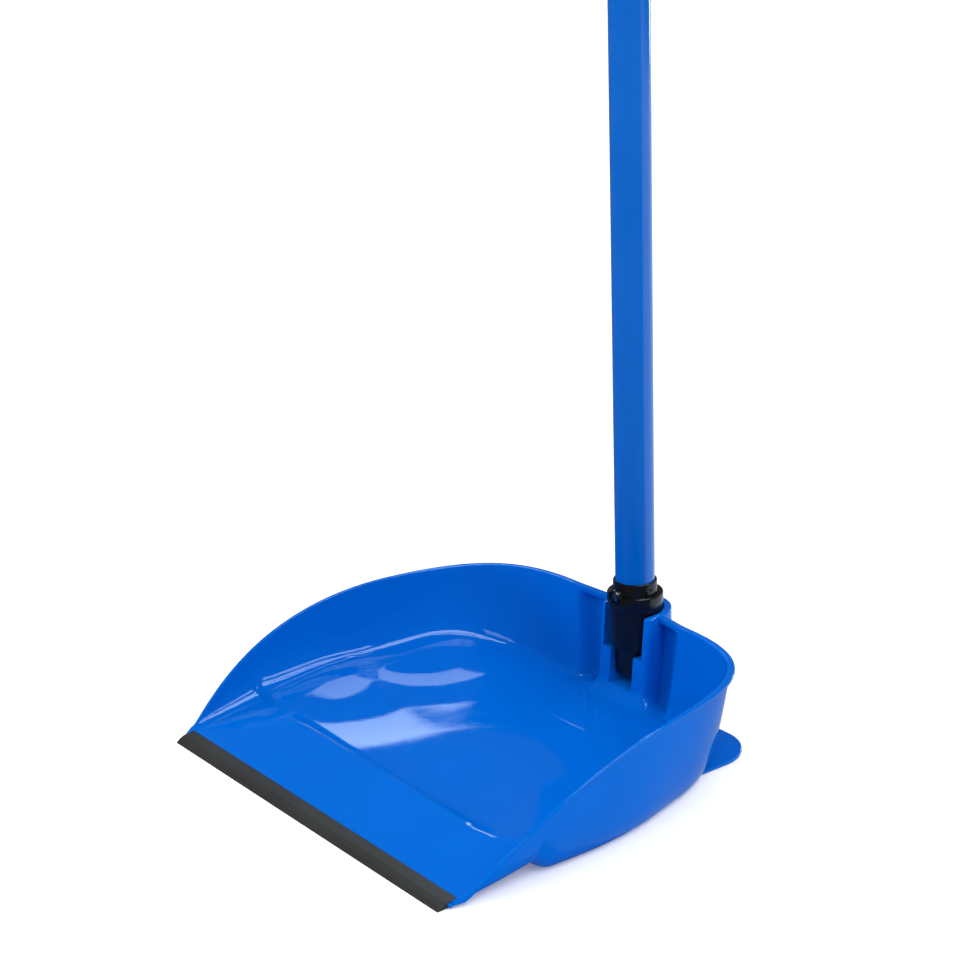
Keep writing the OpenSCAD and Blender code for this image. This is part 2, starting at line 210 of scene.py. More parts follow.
def surface(name, rows, closed=False):
    """Lays a grid along rows of points. A closed one is joined around and its ends are filled."""
    if closed:
        rows = [list(row) + [row[0]] for row in rows]
    deselect()
    bpy.ops.mesh.primitive_grid_add(x_subdivisions=len(rows[0]) - 1, y_subdivisions=len(rows) - 1, size=1)
    piece = named(name)
    lay(piece, [point for row in rows for point in row])
    if closed:
        edit_all(piece)
        bpy.ops.mesh.remove_doubles(threshold=MERGE)
        bpy.ops.mesh.fill_holes(sides=0)
        clean(piece)
    return piece


def prism(name, outline, along):
    """Extrudes a flat outline of points by a vector, all in millimetres."""
    deselect()
    bpy.ops.mesh.primitive_circle_add(vertices=len(outline), fill_type="NGON")
    piece = named(name)
    lay(piece, outline)
    edit_all(piece)
    bpy.ops.mesh.extrude_region_move(TRANSFORM_OT_translate={"value": tuple(v * MM for v in along)})
    clean(piece)
    return piece


# Turns from upright to each axis
TURNS = {
    "Z": Matrix.Identity(3),
    "Y": Matrix.Rotation(math.pi / 2, 3, "X"),
    "X": Matrix.Rotation(math.pi / 2, 3, "Y"),
}


def turned(name, profile, sides, axis="Z", at_z=0.0):
    """Turns a profile of (radius, place along the axis) about an axis at a height. Closed at the ends."""
    centre = Vector((0, 0, at_z))
    rows = []
    for radius, along in profile:
        ring = []
        for k in range(sides):
            angle = math.tau * k / sides
            point = Vector((radius * math.cos(angle), radius * math.sin(angle), along))
            ring.append(centre + TURNS[axis] @ point)
        rows.append(ring)
    return surface(name, rows, closed=True)


def rod(name, radius, start, end, sides, at_z):
    """A plain round bar from back to front at a height, for cutting."""
    return turned(name, [(0.0, start), (radius, start), (radius, end), (0.0, end)], sides, "Y", at_z)


def block(name, low, high):
    """A cube primitive between two corners, in millimetres."""
    deselect()
    bpy.ops.mesh.primitive_cube_add(size=1)
    piece = named(name)
    for vertex in piece.data.vertices:
        vertex.co = placed([low[i] if vertex.co[i] < 0 else high[i] for i in range(3)])
    piece.data.update()
    return piece


def cut(piece, *tools):
    """Cuts tools out of a piece and removes them."""
    for tool in tools:
        modify(piece, "BOOLEAN", operation="DIFFERENCE", object=tool, solver="EXACT")
        bpy.data.objects.remove(tool)


def add(piece, *others):
    """Fuses other solids into a piece."""
    for other in others:
        modify(piece, "BOOLEAN", operation="UNION", object=other, solver="EXACT")
        bpy.data.objects.remove(other)


def round_edges(piece, width, segments, angle=35):
    modify(
        piece, "BEVEL", width=width * MM, segments=segments, limit_method="ANGLE",
        angle_limit=math.radians(angle), miter_outer="MITER_ARC", use_clamp_overlap=True,
    )


def joined(piece, *others):
    """Joins loose shells into one object."""
    pick(piece)
    for other in others:
        other.select_set(True)
    bpy.ops.object.join()


def finished(piece, body, material, *nodes):
    """Cleans a piece, gives it its material and hangs it on the part in place of its CAD nodes."""
    clean(piece)
    piece.data.materials.clear()
    piece.data.materials.append(material)
    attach(piece, body)
    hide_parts(*nodes)


def arc(centre, radius, start, end, steps):
    """Points of an arc as (across, up), angles in degrees."""
    points = []
    for i in range(steps + 1):
        angle = math.radians(start + (end - start) * i / steps)
        points.append((centre[0] + radius * math.cos(angle), centre[1] + radius * math.sin(angle)))
    return points


# Shape of the pan

# Points across the floor and up each face of a wall, and rows along the rim
FLOOR_POINTS, WALL_POINTS, WALL_STEPS = 10, 34, 160
RAMP_ROWS, DROP_ROWS, SIDE_ROWS, CORNER_ROWS, BACK_ROWS = 16, 14, 26, 44, 40
# Rows by the step behind the lip, their gap, the lap into the pocket, and a short step
STEP_ROWS, ROW_GAP, POCKET_LAP, NUDGE = (-1.0, -0.1, 0.1), 2.0, 2.5, 0.001
# Plan of the rim with its rear corners
BACK_SET, WIDEST, CORNER_Y, BACK_LENGTH, SIDE_PULL, BACK_PULL = 3.0, 157.0, 70.0, 90.0, 0.75, 0.6
# Ramp, drop behind its crest, and the lip's groove and gap
RAMP, DROP, GROOVE, LIP_GAP = 43.5, 12.0, 5.5, 0.03
# Fall of the rim towards the mouth
FALL_START, FALL_END, FALL_POWER, LEAST_RIM = 4.0, 1.0, 2.5, 0.3
# Band of the rim, which widens to the back, and the rounds of its edges
BAND_OVER, BAND_FROM, BAND_RUN, LOW_FOOT = 0.2, 95.0, 60.0, 0.5
RIM_ROUND, RISE_SHARE, BAND_SHARE, UNDER_ROUND = 0.8, 0.35, 0.42, 0.4
# Swelling of the back around the pocket, with the dip of its rim
SWELL, SWELL_WIDTH, SWELL_TURN, SWELL_DIP = 6.2, 47.0, 24.0, 2.8
# Step in the back wall beside the pocket, which begins under the rim
RECESS, RECESS_WIDTH, RECESS_SLANT, RECESS_TURN = 5.5, 43.0, 6.0, 6.0
RECESS_TOP, RECESS_ROOF = 2.5, 5.5
# Bowl of the tray's upper face, which rises more at the back and less at the front
BOWL_AT, SIDE_SINK, BACK_SINK, BACK_FROM, BACK_RUN = 110.0, 13.0, 0.9, 110.0, 70.0
FRONT_SINK, FRONT_FROM, FRONT_SHARE, FRONT_RUN = 2.0, 85.0, 0.65, 60.0
# Run, lean and squareness of the wall along the rim, and the squareness of its inner face
MOUTH_WALL = (3.0, 0.4, 3.0)
CREST_WALL = (16.0, 2.0, 3.0)
SIDE_WALL = (14.0, 2.0, 3.6)
CORNER_WALL = (18.0, 9.0, 3.4)
BACK_WALL = (9.0, 3.5, 2.8)
INNER_SQUARE = 2.5
# Where one wall passes into the next
CORNER_AHEAD, CORNER_EARLY, CORNER_MID, SIDE_AHEAD = 45.0, 0.5, 0.45, 12.0
# Fan of the floor's rows towards the back
FAN, FAN_FROM, FAN_RUN = 0.22, 16.0, 100.0
# Edge that the lip grips, and the height of the tips beside the lip's ends
EDGE, EDGE_NEAR, TIP = 1.0, 0.05, 1.0


def mix(a, b, t):
    return a + (b - a) * t


def mixed(a, b, t):
    return tuple(mix(p, q, t) for p, q in zip(a, b))


def ease(t):
    t = min(1.0, max(0.0, t))
    return t * t * (3.0 - 2.0 * t)


def resampled(points, count):
    """Spreads points evenly along a line."""
    lengths = [0.0]
    for a, b in zip(points, points[1:]):
        lengths.append(lengths[-1] + math.dist(a, b))
    result, k = [], 0
    for i in range(count):
        target = lengths[-1] * i / (count - 1)
        while k < len(points) - 2 and lengths[k + 1] < target:
            k += 1
        span = lengths[k + 1] - lengths[k]
        result.append(mixed(points[k], points[k + 1], (target - lengths[k]) / span if span else 0.0))
    return result


def folded(row):
    """A row with its two faces brought together, which shuts the shell's end."""
    return [mixed(a, b, 0.5) for a, b in zip(row, row[::-1])]


class PanShape:
    """Plan, rim, walls and floor of the pan, in millimetres from the handle axis."""

    def __init__(self, sizes):
        self.half_width, self.rear = sizes.pan_width / MM / 2, sizes.rear_width / MM / 2
        self.rim_h = sizes.rim_height / MM
        self.wall = sizes.wall / MM
        self.band = sizes.rim_band / MM
        self.crest_h = sizes.crest_height / MM
        self.lip_h = sizes.lip_height / MM
        self.lip_half = sizes.lip_length / MM / 2
        self.pocket_out = (sizes.pocket_radius + sizes.pocket_wall) / MM
        self.lip_back = -(sizes.reach - sizes.lip_width) / MM
        self.front = -self.lip_back + GROOVE
        self.mouth = self.lip_half + self.wall + LIP_GAP
        self.crest_at = -self.lip_back - RAMP
        self.tray_at = self.crest_at - DROP
        self.turn_at = CORNER_Y + CORNER_AHEAD
        self.ramp = (self.crest_h - self.lip_h) / RAMP
        slope = self.side_slope(-CORNER_Y)
        pull = SIDE_PULL * (CORNER_Y - BACK_SET) / math.hypot(slope, 1)
        start = (self.rear, -CORNER_Y)
        end = (BACK_LENGTH / 2, -BACK_SET)
        self.corner = (
            start,
            (start[0] + pull * slope, start[1] + pull),
            (end[0] + BACK_PULL * (self.rear - end[0]), end[1]),
            end,
        )

    def side_end(self, y):
        return (self.mouth, -self.front) if y < -WIDEST else (self.rear, -CORNER_Y)

    def side_x(self, y):
        x, end = self.side_end(y)
        return self.half_width - (self.half_width - x) * ((y + WIDEST) / (end + WIDEST)) ** 2

    def side_slope(self, y):
        x, end = self.side_end(y)
        return -2 * (self.half_width - x) * (y + WIDEST) / (end + WIDEST) ** 2

    def corner_point(self, t):
        weights = ((1 - t) ** 3, 3 * t * (1 - t) ** 2, 3 * t * t * (1 - t), t**3)
        return tuple(sum(w * p[i] for w, p in zip(weights, self.corner)) for i in (0, 1))

    def back_y(self, x):
        return -BACK_SET + SWELL * ease((SWELL_WIDTH - x) / SWELL_TURN)

    def recess(self, x, below, z):
        """Depth of the step in the back wall beside the pocket, under the rim."""
        edge = RECESS_WIDTH - RECESS_SLANT * (1 - z / self.rim_h)
        across = ease((edge - x) / RECESS_TURN)
        return RECESS * across * ease((below - RECESS_TOP) / RECESS_ROOF)

    def sink(self, x, y):
        """How far the tray's upper face rises from its middle towards the walls."""
        out = abs(x / BOWL_AT)
        back = 1 + BACK_SINK * ease((y + BACK_FROM) / BACK_RUN)
        ahead = mix(FRONT_SHARE, 1, ease((y + self.crest_at) / FRONT_RUN))
        front = max(0.0, -FRONT_FROM - y) / (self.crest_at - FRONT_FROM)
        return SIDE_SINK * back * ahead * out**3 + FRONT_SINK * front**2

    def drop_left(self, y):
        """Share of the drop behind the crest that is still to come."""
        return max(0.0, -self.tray_at - y) / DROP

    def upper_z(self, x, y):
        """Height of the upper face: the ramp, the drop behind its crest and the sunk tray."""
        if y < -self.crest_at:
            return self.floor_z(y)
        return mix(self.wall + self.sink(x, y), self.crest_h, self.drop_left(y) ** 3)

    def floor_z(self, y):
        """Height of the flat floor that the outer walls and the lower face follow."""
        if y < -self.crest_at:
            return self.crest_h + self.ramp * (y + self.crest_at)
        return self.wall + (self.crest_h - self.wall) * self.drop_left(y) ** 2

    def rim_z(self, y):
        run = self.front + FALL_END - CORNER_Y
        fall = min(1.0, max(0.0, (-CORNER_Y + FALL_START - y) / run))
        dip = SWELL_DIP * max(0.0, y + BACK_SET) / SWELL
        return max(self.floor_z(y) + LEAST_RIM, self.rim_h * (1 - fall**FALL_POWER)) - dip

    def cornering(self, y):
        """Share of the side wall's turn into the rear corner."""
        return ease((y + self.turn_at) / (self.turn_at - CORNER_Y))

    def side_shape(self, y):
        if y < -self.crest_at:
            return mixed(MOUTH_WALL, CREST_WALL, (y + self.front) / (self.front - self.crest_at))
        if y < -self.turn_at:
            run = self.crest_at - self.turn_at - SIDE_AHEAD
            return mixed(CREST_WALL, SIDE_WALL, ease((y + self.crest_at) / run))
        return mixed(SIDE_WALL, CORNER_WALL, CORNER_EARLY * self.cornering(y))

    def corner_shape(self, t):
        if t < CORNER_MID:
            return mixed(SIDE_WALL, CORNER_WALL, mix(CORNER_EARLY, 1, ease(t / CORNER_MID)))
        return mixed(CORNER_WALL, BACK_WALL, ease((t - CORNER_MID) / (1 - CORNER_MID)))

    def rows(self):
        """Stations of the right half's rim, each a point, an outward direction and the wall's shape."""
        ys = [-self.front, -self.front + ROW_GAP]
        ys += [self.lip_back + off for off in STEP_ROWS]
        stretches = (
            (self.lip_back + ROW_GAP, -self.crest_at, RAMP_ROWS),
            (-self.crest_at, -self.tray_at, DROP_ROWS),
            (-self.tray_at, -CORNER_Y, SIDE_ROWS),
        )
        for start, end, count in stretches:
            ys += [mix(start, end, i / count) for i in range(count)]
        result = []
        for y in ys:
            out = Vector((1, -self.cornering(y) * self.side_slope(y))).normalized()
            result.append(((self.side_x(y), y), out, self.side_shape(y)))
        for i in range(CORNER_ROWS):
            t = i / CORNER_ROWS
            point = Vector(self.corner_point(t))
            along = (Vector(self.corner_point(t + NUDGE)) - point).normalized()
            result.append((tuple(point), Vector((along.y, -along.x)), self.corner_shape(t)))
        for i in range(BACK_ROWS + 1):
            x = mix(BACK_LENGTH / 2, self.pocket_out - POCKET_LAP, i / BACK_ROWS)
            result.append(((x, self.back_y(x)), Vector((0, 1)), BACK_WALL))
        return result

    def band_width(self, y):
        return mix(self.wall + BAND_OVER, self.band, ease((y + BAND_FROM) / BAND_RUN))

    def base(self, row):
        """Foot of a row's wall on the floor."""
        (x, y), out, (run, _, _) = row
        in_by = self.band_width(y) + run - self.recess(x, self.rim_h, self.wall)
        return (x - in_by * out.x, y - in_by * out.y)

    def wall_line(self, row, low, square):
        """A face of a row's wall from the rim down to a floor height."""
        (x, y), _, (run, lean, _) = row
        band, top = self.band_width(y), self.rim_z(y)
        line = []
        for i in range(WALL_STEPS + 1):
            angle = math.pi / 2 * i / WALL_STEPS
            across = 1 - max(0.0, math.cos(angle)) ** (2 / square)
            down = math.sin(angle) ** (2 / square)
            z = mix(top, low, down)
            line.append((band + lean * down + (run - lean) * across - self.recess(x, top - z, z), z))
        return line

    def outer_line(self, plain):
        """The outer face that lies a wall's thickness behind a plain face."""
        line = []
        for i, (d, z) in enumerate(plain):
            a, b = plain[max(i - 1, 0)], plain[min(i + 1, WALL_STEPS)]
            along = Vector((b[0] - a[0], b[1] - a[1])).normalized()
            if i == WALL_STEPS:
                along = Vector((1, 0))
            line.append((d + self.wall * along.y, z - self.wall * along.x))
        return line

    def section(self, row):
        """The wall of a row from the inner foot over the rim to the outer foot, as (inward, height)."""
        (_, y), _, (_, _, square) = row
        band, top, foot = self.band_width(y), self.rim_z(y), self.base(row)
        low = self.floor_z(foot[1])
        plain = self.wall_line(row, low, square)
        under, under_z = band - self.wall, top - self.wall
        soft = min(RIM_ROUND, RISE_SHARE * (top - low), band * BAND_SHARE)
        small = min(UNDER_ROUND, under / 2)
        inner = self.wall_line(row, self.upper_z(*foot), min(square, INNER_SQUARE))
        inner = [p for p in inner if p[1] < top - soft]
        inner = resampled([(band + FIT_GAP, top - soft)] + inner, WALL_POINTS)
        foot_end = (plain[-1][0], low - self.wall)
        outer = [p for p in self.outer_line(plain) if p[1] < under_z - small]
        if not outer:
            outer = [(foot_end[0] - LOW_FOOT, foot_end[1])]
        outer = resampled([(under, under_z - small)] + outer + [foot_end], WALL_POINTS)
        rim = arc((band - soft, top - soft), soft, 0, 90, 5)
        rim += arc((soft, top - soft), soft, 90, 180, 5)
        rim += arc((small, under_z + small), small, 180, 270, 2)
        rim += arc((under - small, under_z - small), small, 90, 0, 2)
        return inner[::-1] + rim + outer

    def half(self):
        """Rows of points for the right half, folded shut at its two ends."""
        result = []
        for row in self.rows():
            (x, y), out, _ = row
            foot = self.base(row)
            fan = FAN * foot[0] * ease((foot[1] + self.tray_at - FAN_FROM) / FAN_RUN)
            middle = (0.0, foot[1] - fan)
            floor = [mixed(foot, middle, i / FLOOR_POINTS) for i in range(1, FLOOR_POINTS + 1)]
            points = [(p[0], p[1], self.upper_z(*p)) for p in floor[::-1]]
            points += [(x - d * out.x, y - d * out.y, z) for d, z in self.section(row)]
            points += [(p[0], p[1], self.floor_z(p[1]) - self.wall) for p in floor]
            result.append([self.mouth_edge(p, i < len(points) / 2) for i, p in enumerate(points)])
        return [folded(result[0])] + result + [folded(result[-1])]

    def mouth_edge(self, point, upper):
        """Thins the edge that the lip grips, and slopes the tips beside the lip's ends."""
        x, y, z = point
        if y > self.lip_back + EDGE_NEAR:
            return point
        if x < self.lip_half:
            middle = self.lip_h - self.wall / 2 + self.ramp * (y - self.lip_back)
            return (x, y, middle + (EDGE / 2 if upper else -EDGE / 2))
        return (x, y, min(z, mix(TIP, self.lip_h, (y + self.front) / GROOVE)))


# Finishes

# Moulded skin: broad clouds of gloss and tone, fine grain, and scuffs drawn out along one way
CLOUD_SCALE, CLOUD_DETAIL, GRAIN_DETAIL, NOISE_ROUGHNESS = 14.0, 3.0, 3.0, 0.55
SCUFF_TURN, SCUFF_STRETCH = (0.3, 0.2, 0.9), (1.0, 14.0, 14.0)
SCUFF_SCALE, SCUFF_DETAIL, SCUFF_FROM, SCUFF_TO = 60.0, 5.0, 0.62, 0.8
SCUFF_ROUGHNESS, SCUFF_HEIGHT = 0.03, -0.4
SKIN_INPUTS = ("Colour", "Grain Scale", "Gloss Low", "Gloss High", "Tone")
SKIN_OUTPUTS = ("Colour", "Roughness", "Height")
# Colour setting, grain scale, bump depth, roughness from and to, swing of tone, and other inputs
FINISHES = {
    "pan_plastic": ("pan", 700.0, 0.000012, 0.015, 0.03, 0.04, {"IOR": 1.49, "Specular IOR Level": 0.13}),
    "lip_rubber": ("rubber", 1500.0, 0.00006, 0.5, 0.68, 0.12, {"Specular IOR Level": 0.25}),
    "fitting_plastic": ("fitting", 1200.0, 0.00002, 0.12, 0.2, 0.15, {"Specular IOR Level": 0.35}),
    "ferrule_plastic": ("fitting", 1200.0, 0.00003, 0.16, 0.26, 0.15, {"Specular IOR Level": 0.35}),
    "screw_steel": ("steel", 2500.0, 0.00001, 0.16, 0.3, 0.1, {"Metallic": 1.0}),
    "tube_coating": ("tube", 420.0, 0.000025, 0.1, 0.15, 0.04, {"Specular IOR Level": 0.4}),
    "cap_plastic": ("fitting", 1200.0, 0.00004, 0.3, 0.45, 0.15, {"Specular IOR Level": 0.5}),
}


def set_inputs(node, values):
    """Sets a node's inputs. A value that is another node's output is linked."""
    for key, value in values.items():
        if hasattr(value, "is_linked"):
            node.id_data.links.new(value, node.inputs[key])
        else:
            node.inputs[key].default_value = value


def noise(tree, vector, scale, detail):
    node = tree.nodes.new("ShaderNodeTexNoise")
    set_inputs(node, {"Vector": vector, "Scale": scale, "Detail": detail, "Roughness": NOISE_ROUGHNESS})
    return node.outputs["Fac"]


def ramp(tree, value, low, high, start=0.3, end=0.7):
    node = tree.nodes.new("ShaderNodeMapRange")
    set_inputs(node, {"Value": value, "From Min": start, "From Max": end, "To Min": low, "To Max": high})
    return node.outputs["Result"]


def math_node(tree, kind, a, b):
    node = tree.nodes.new("ShaderNodeMath")
    node.operation = kind
    set_inputs(node, {0: a, 1: b})
    return node.outputs["Value"]


def moulded_skin():
    """Group: grain, gloss and tone of a moulded or coated surface."""
    group = bpy.data.node_groups.get("moulded_skin")
    if group:
        return group
    group = bpy.data.node_groups.new("moulded_skin", "ShaderNodeTree")
    for way, names in (("INPUT", SKIN_INPUTS), ("OUTPUT", SKIN_OUTPUTS)):
        for name in names:
            kind = "NodeSocketColor" if name == "Colour" else "NodeSocketFloat"
            group.interface.new_socket(name=name, in_out=way, socket_type=kind)
    given = group.nodes.new("NodeGroupInput")
    result = group.nodes.new("NodeGroupOutput")
    place = group.nodes.new("ShaderNodeTexCoord").outputs["Object"]
    clouds = noise(group, place, CLOUD_SCALE, CLOUD_DETAIL)
    fine = group.nodes.new("ShaderNodeTexNoise")
    set_inputs(fine, {"Vector": place, "Scale": given.outputs["Grain Scale"], "Detail": GRAIN_DETAIL})
    drawn = group.nodes.new("ShaderNodeMapping")
    set_inputs(drawn, {"Vector": place, "Rotation": SCUFF_TURN, "Scale": SCUFF_STRETCH})
    scuffs = noise(group, drawn.outputs["Vector"], SCUFF_SCALE, SCUFF_DETAIL)
    marks = ramp(group, scuffs, 0.0, 1.0, SCUFF_FROM, SCUFF_TO)
    gloss = ramp(group, clouds, given.outputs["Gloss Low"], given.outputs["Gloss High"])
    rougher = math_node(group, "MULTIPLY", marks, SCUFF_ROUGHNESS)
    swing = ramp(group, clouds, -1.0, 1.0)
    tone = math_node(group, "ADD", math_node(group, "MULTIPLY", swing, given.outputs["Tone"]), 1.0)
    shade = group.nodes.new("ShaderNodeVectorMath")
    shade.operation = "SCALE"
    set_inputs(shade, {0: given.outputs["Colour"], "Scale": tone})
    dents = math_node(group, "MULTIPLY", marks, SCUFF_HEIGHT)
    roughness = math_node(group, "ADD", gloss, rougher)
    height = math_node(group, "ADD", fine.outputs["Fac"], dents)
    set_inputs(result, {"Colour": shade.outputs["Vector"], "Roughness": roughness, "Height": height})
    return group


def finish_material(name):
    """A Principled material whose colour, roughness and grain come from the moulded skin."""
    setting, grain, depth, low, high, tone, others = FINISHES[name]
    colour = (*getattr(bpy.context.scene.dustpan_colours, setting), 1)
    material = bpy.data.materials.new(name)
    material.use_nodes = True
    tree = material.node_tree
    shader = tree.nodes["Principled BSDF"]
    skin = tree.nodes.new("ShaderNodeGroup")
    skin.node_tree = moulded_skin()
    set_inputs(skin, dict(zip(SKIN_INPUTS, (colour, grain, low, high, tone))))
    bump = tree.nodes.new("ShaderNodeBump")
    set_inputs(bump, {"Height": skin.outputs["Height"], "Distance": depth})
    set_inputs(shader, {"Base Color": skin.outputs["Colour"], "Roughness": skin.outputs["Roughness"]})
    set_inputs(shader, {"Normal": bump.outputs["Normal"], **others})
    material.diffuse_color = colour
    return material


# Operators


class DUSTPAN_OT_pan(Operator):
    """Model the pan: the moulded shell, its foot plate and the handle pocket"""

    bl_idname = "dustpan.pan"
    bl_label = "Pan"

    # Foot plate, in millimetres. Its top slopes down to the front, under the tray.
    PLATE_HALF, PLATE_FRONT, PLATE_BACK, PLATE_CORNER = 98.5, -56.0, 0.5, 23.0
    PLATE_LOW, PLATE_TOP, PLATE_SLOPE, PLATE_SUNK, PLATE_LOOP = 0.3, 3.2, 46.0, 1.1, 2.5
    # Handle pocket: cheeks with their lean and fall, cove at the foot, and rounds
    FRONT, LEAN, CHEEK_TOP, CHEEK_FALL, TOP = 13.0, 5.0, 53.5, 6.0, 54.5
    FLOOR, COVE, CORNER, EDGE_ROUND, COVE_STEP = 3.2, 8.0, 3.2, 0.9, 9
    # Outline of the pocket's cheeks, and the heights of its plain rings
    CHEEK_POINT, COVE_RUN, COVE_CORNER, CHEEK_FROM = 2.5, 8.0, 0.8, 12.0
    LOW_RINGS, HIGH_RINGS = (1.0, 3.0), (20.0, 40.0)
    # Room for the connector, and how far its cutting tools reach out
    LEDGE, SLOT, SLOT_FLOOR, SLOT_BACK = 28.5, 9.4, 8.5, 8.5
    CUT_AHEAD, CUT_TOP, CUT_TALL = 40.0, 60.0, 100.0

    def execute(self, context):
        sizes = context.scene.dustpan_sizes
        shape = PanShape(sizes)
        shell = surface("pan_moulding", shape.half())
        modify(shell, "MIRROR", use_axis=(True, False, False), merge_threshold=MERGE)
        clean(shell, 2 * MERGE)
        foot = self.foot_plate()
        pocket = self.pocket(shape.pocket_out, sizes.pocket_radius)
        smooth(shell, 24)
        smooth(foot, 40)
        smooth(pocket, 40)
        joined(shell, foot, pocket)
        finished(shell, PAN_BODY, finish_material("pan_plastic"), "pan")
        return {"FINISHED"}

    def foot_plate(self):
        """A flat tab under the back, with round rear corners."""
        half, front, low = self.PLATE_HALF, self.PLATE_FRONT, self.PLATE_LOW
        across, behind = half - self.PLATE_CORNER, self.PLATE_BACK - self.PLATE_CORNER
        corners = arc((across, behind), self.PLATE_CORNER, 0, 90, 14)
        corners += arc((-across, behind), self.PLATE_CORNER, 90, 180, 14)
        outline = [(x, y, low) for x, y in [(-half, front), (half, front)] + corners]
        plate = prism("foot_plate", outline, (0, 0, self.PLATE_TOP - low))
        edit_all(plate)
        for back_by in (self.PLATE_SLOPE, self.PLATE_LOOP):
            bpy.ops.mesh.select_all(action="SELECT")
            bpy.ops.mesh.bisect(plane_co=placed((0, front + back_by, 0)), plane_no=(0, 1, 0))
        bpy.ops.object.mode_set(mode="OBJECT")
        middle = (low + self.PLATE_TOP) / 2 * MM
        slope_end = AXIS_Y + (front + self.PLATE_SLOPE) * MM
        for vertex in plate.data.vertices:
            ahead = (slope_end - vertex.co.y) / (self.PLATE_SLOPE * MM)
            if ahead > 0 and vertex.co.z > middle:
                vertex.co.z -= self.PLATE_SUNK * MM * ahead
        round_edges(plate, 0.8, 3)
        return plate

    def pocket(self, outer, inner_m):
        """Two cheeks with a round back, and the room for the connector between them."""
        levels = list(self.LOW_RINGS)
        for angle in range(self.COVE_STEP, 90, self.COVE_STEP):
            levels.append(self.FLOOR + self.COVE * (1 - math.cos(math.radians(angle))))
        levels += [self.FLOOR + self.COVE, *self.HIGH_RINGS]
        rings = [self.ring(z, outer) for z in levels]
        for angle in (0, 30, 60, 90):
            turn = math.radians(angle)
            level = self.TOP - self.EDGE_ROUND + self.EDGE_ROUND * math.sin(turn)
            ring = self.ring(level, outer, self.EDGE_ROUND * (1 - math.cos(turn)))
            fall = self.TOP - self.CHEEK_TOP
            rings.append([(x, y, z - fall * ease(-y / self.CHEEK_FALL)) for x, y, z in ring])
        solid = surface("pocket", rings, closed=True)
        low = (-self.SLOT, -self.CUT_AHEAD, self.SLOT_FLOOR)
        slot = block("slot", low, (self.SLOT, self.SLOT_BACK, self.CUT_TOP))
        cut(solid, self.channel(inner_m), slot)
        clean(solid)
        round_edges(solid, self.EDGE_ROUND, 3, 50)
        return solid

    def channel(self, radius):
        """A round bar over the ledges, drawn out to the front."""
        tall = self.CUT_TALL * MM
        deselect()
        bpy.ops.mesh.primitive_cylinder_add(vertices=96, radius=radius, depth=tall)
        bar = named("channel")
        for vertex in bar.data.vertices:
            ahead = self.CUT_AHEAD * MM if vertex.co.y < -MERGE else 0.0
            vertex.co.y += AXIS_Y - ahead
            vertex.co.z += self.LEDGE * MM + tall / 2
        bar.data.update()
        return bar

    def ring(self, z, outer, inset=0.0):
        """Outline of the pocket block at a height: a round back, straight cheeks and a flat front."""
        drop = min(1.0, max(0.0, (z - self.FLOOR) / self.COVE))
        flare = self.COVE * (1 - math.sqrt(1 - (1 - drop) ** 2)) if drop < 1 else 0.0
        half = outer + flare - inset
        ahead = -(self.FRONT - self.LEAN * z / self.CHEEK_TOP) - flare + inset
        radius = self.CORNER + flare * self.COVE_CORNER
        line = [(half, 0.0), (half, -self.CHEEK_POINT)]
        line += arc((half - radius, ahead + radius), radius, 0, -90, 8)
        line += [(-x, y) for x, y in line[::-1]]
        points = []
        for x, y in line:
            if abs(x) > self.CHEEK_FROM:
                x = mix(math.copysign(outer - inset, x), x, ease(-y / self.COVE_RUN))
            points.append((x, y, z))
        return points + [(x, y, z) for x, y in arc((0, 0), outer - inset, 180, 0, 40)[1:-1]]


class DUSTPAN_OT_rubber_lip(Operator):
    """Model the rubber lip along the mouth"""

    bl_idname = "dustpan.rubber_lip"
    bl_label = "Rubber lip"

    # Profile as shares of the width, ahead of the back, and of the height
    PROFILE = ((1.0, 0.0), (0.0, 0.0), (0.0, 1.0), (0.55, 0.8), (0.8, 0.48))

    def execute(self, context):
        sizes = context.scene.dustpan_sizes
        width, high = sizes.lip_width / MM, sizes.lip_height / MM
        half = sizes.lip_length / MM / 2
        back = -sizes.reach / MM + width
        outline = [(-half, back - ahead * width, up * high) for ahead, up in self.PROFILE]
        lip = prism("lip_strip", outline, (2 * half, 0, 0))
        round_edges(lip, 0.25, 3, 8)
        smooth(lip, 30)
        finished(lip, PAN_BODY, finish_material("lip_rubber"), "rubber_lip")
        return {"FINISHED"}


